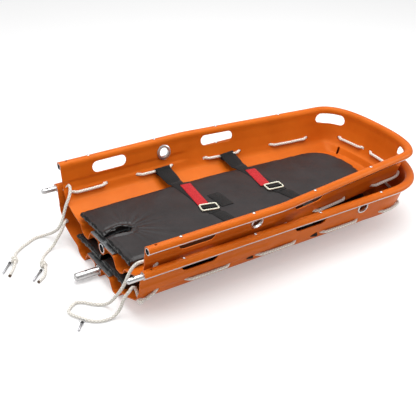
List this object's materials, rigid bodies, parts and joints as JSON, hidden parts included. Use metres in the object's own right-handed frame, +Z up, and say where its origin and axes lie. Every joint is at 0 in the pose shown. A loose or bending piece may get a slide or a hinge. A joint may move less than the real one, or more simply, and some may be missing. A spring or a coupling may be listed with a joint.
{
  "type": "basket stretcher",
  "caption": "Two-part basket stretcher stored nested: moulded shells on tube frames with mattresses, webbing straps with frame buckles, joining spigots and lock pins on ropes.",
  "frame": {"origin": "on the ground under the middle of the object, without the ropes and pins", "axes": "+X from the open split ends to the rounded ends, +Z up, -Y the near side"},
  "size_m": [1.4304, 0.6298, 0.2695],
  "materials": {
    "orange_shell": "satin moulded polyethylene",
    "aluminium_tube": "polished",
    "joint_plate": "mill finish",
    "bright_trim": "bright",
    "steel_pin": "zinc plated",
    "vinyl": "satin dark grey vinyl cover",
    "black_webbing": "woven",
    "red_webbing": "woven",
    "buckle_enamel": "cream enamel",
    "rope": "braided"
  },
  "bodies": {
    "lower_half": {"lower_grab_line": "rope", "lower_grommet_far": "bright_trim", "lower_grommet_near": "bright_trim", "lower_joint_plate": "joint_plate", "lower_keel_spigot": "aluminium_tube", "lower_keel_tube": "aluminium_tube", "lower_mattress": "vinyl", "lower_rim_spigot_far": "aluminium_tube", "lower_rim_spigot_near": "aluminium_tube", "lower_rim_tube": "aluminium_tube", "lower_rivet_far_1": "bright_trim", "lower_rivet_far_2": "bright_trim", "lower_rivet_far_3": "bright_trim", "lower_rivet_far_4": "bright_trim", "lower_rivet_near_1": "bright_trim", "lower_rivet_near_2": "bright_trim", "lower_rivet_near_3": "bright_trim", "lower_rivet_near_4": "bright_trim", "lower_shell": "orange_shell", "lower_strap_1_buckle": "buckle_enamel", "lower_strap_1_far": "black_webbing", "lower_strap_1_near": "black_webbing", "lower_strap_1_red": "red_webbing", "lower_strap_2_buckle": "buckle_enamel", "lower_strap_2_far": "black_webbing", "lower_strap_2_near": "black_webbing", "lower_strap_2_red": "red_webbing", "pin_far": "steel_pin", "pin_middle": "steel_pin", "pin_near": "steel_pin", "rope_far": "rope", "rope_middle": "rope", "rope_near": "rope"},
    "upper_half": {"upper_grab_line": "rope", "upper_grommet_far": "bright_trim", "upper_grommet_near": "bright_trim", "upper_joint_plate": "joint_plate", "upper_keel_tube": "aluminium_tube", "upper_mattress": "vinyl", "upper_rim_tube": "aluminium_tube", "upper_rivet_far_1": "bright_trim", "upper_rivet_far_2": "bright_trim", "upper_rivet_far_3": "bright_trim", "upper_rivet_far_4": "bright_trim", "upper_rivet_near_1": "bright_trim", "upper_rivet_near_2": "bright_trim", "upper_rivet_near_3": "bright_trim", "upper_rivet_near_4": "bright_trim", "upper_shell": "orange_shell", "upper_strap_1_far": "black_webbing", "upper_strap_1_loose_end": "black_webbing", "upper_strap_1_near": "black_webbing", "upper_strap_1_red": "red_webbing", "upper_strap_2_far": "black_webbing", "upper_strap_2_near": "black_webbing", "upper_strap_2_red": "red_webbing"},
    "upper_buckle_1": {"upper_strap_1_buckle": "buckle_enamel"},
    "upper_buckle_2": {"upper_strap_2_buckle": "buckle_enamel"}
  },
  "joints": [
    {"name": "upper_lift", "type": "slide", "parent": "lower_half", "child": "upper_half", "axis": [0, 0, 1], "range_m": [0, 0.3], "deforming": ["rope_far", "rope_near"]},
    {"name": "upper_buckle_1_tip", "type": "hinge", "parent": "upper_half", "child": "upper_buckle_1", "pos_m": [-0.1479, -0.01154, 0.1505], "axis": [0.9713, -0.2377, 0], "range_deg": [-110, 0]},
    {"name": "upper_buckle_2_tip", "type": "hinge", "parent": "upper_half", "child": "upper_buckle_2", "pos_m": [0.1208, -0.00314, 0.1505], "axis": [0.9928, -0.1197, 0], "range_deg": [-110, 0]}
  ]
}
